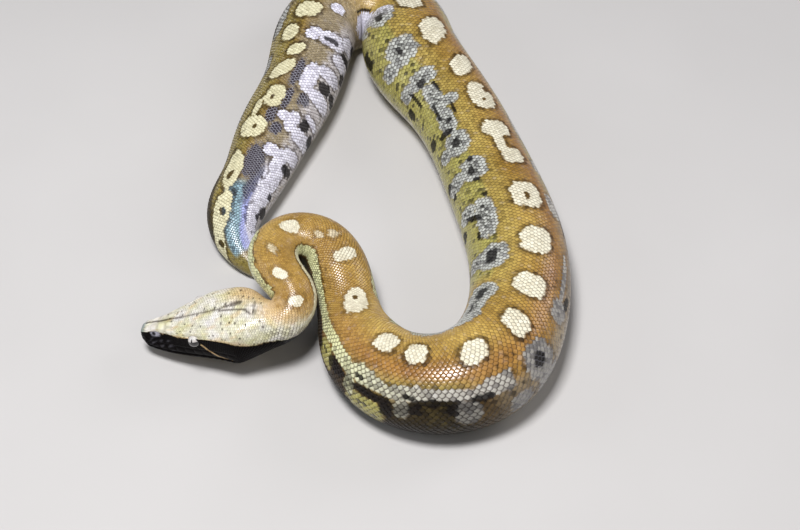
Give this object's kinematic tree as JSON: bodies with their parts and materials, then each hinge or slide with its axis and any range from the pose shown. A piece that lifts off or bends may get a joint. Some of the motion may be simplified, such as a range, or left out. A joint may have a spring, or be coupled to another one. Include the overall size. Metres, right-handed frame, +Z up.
{
  "type": "coiled python snake",
  "caption": "Still, life-size short-tailed python lying in an open coil, head raised clear of the floor on an S-bent neck, tail tucked under it.",
  "frame": {"origin": "on the floor under the middle of the coil's bounding box", "axes": "+Y along the coil's longer way, from the head's end to the rear bend; +X from the head's side to the long side; +Z up"},
  "size_m": [0.2457, 0.3661, 0.0536],
  "materials": {
    "head_scales": "smooth satin scales, cream crown over near-black sides",
    "eye": "wet gloss, silver-grey above and dark below, upright slit pupil",
    "neck_scales": "satin overlapping scales, golden brown with cream blotches and pale side stripes",
    "body_scales": "satin overlapping scales, golden brown with cream blotches, black and grey-white flank patches",
    "tail_scales": "satin overlapping scales, blue-grey side with a yellow-cream stripe and black spots"
  },
  "bodies": {
    "root": {"head": "head_scales", "eye_left": "eye", "eye_right": "eye", "neck_1": "neck_scales", "neck_2": "neck_scales", "neck_3": "neck_scales", "neck_4": "neck_scales", "neck_5": "neck_scales", "body_01": "body_scales", "body_02": "body_scales", "body_03": "body_scales", "body_04": "body_scales", "body_05": "body_scales", "body_06": "body_scales", "body_07": "body_scales", "body_08": "body_scales", "body_09": "body_scales", "body_10": "body_scales", "body_11": "body_scales", "body_12": "body_scales", "body_13": "body_scales", "tail_base": "tail_scales", "tail_tip": "tail_scales"}
  },
  "joints": []
}
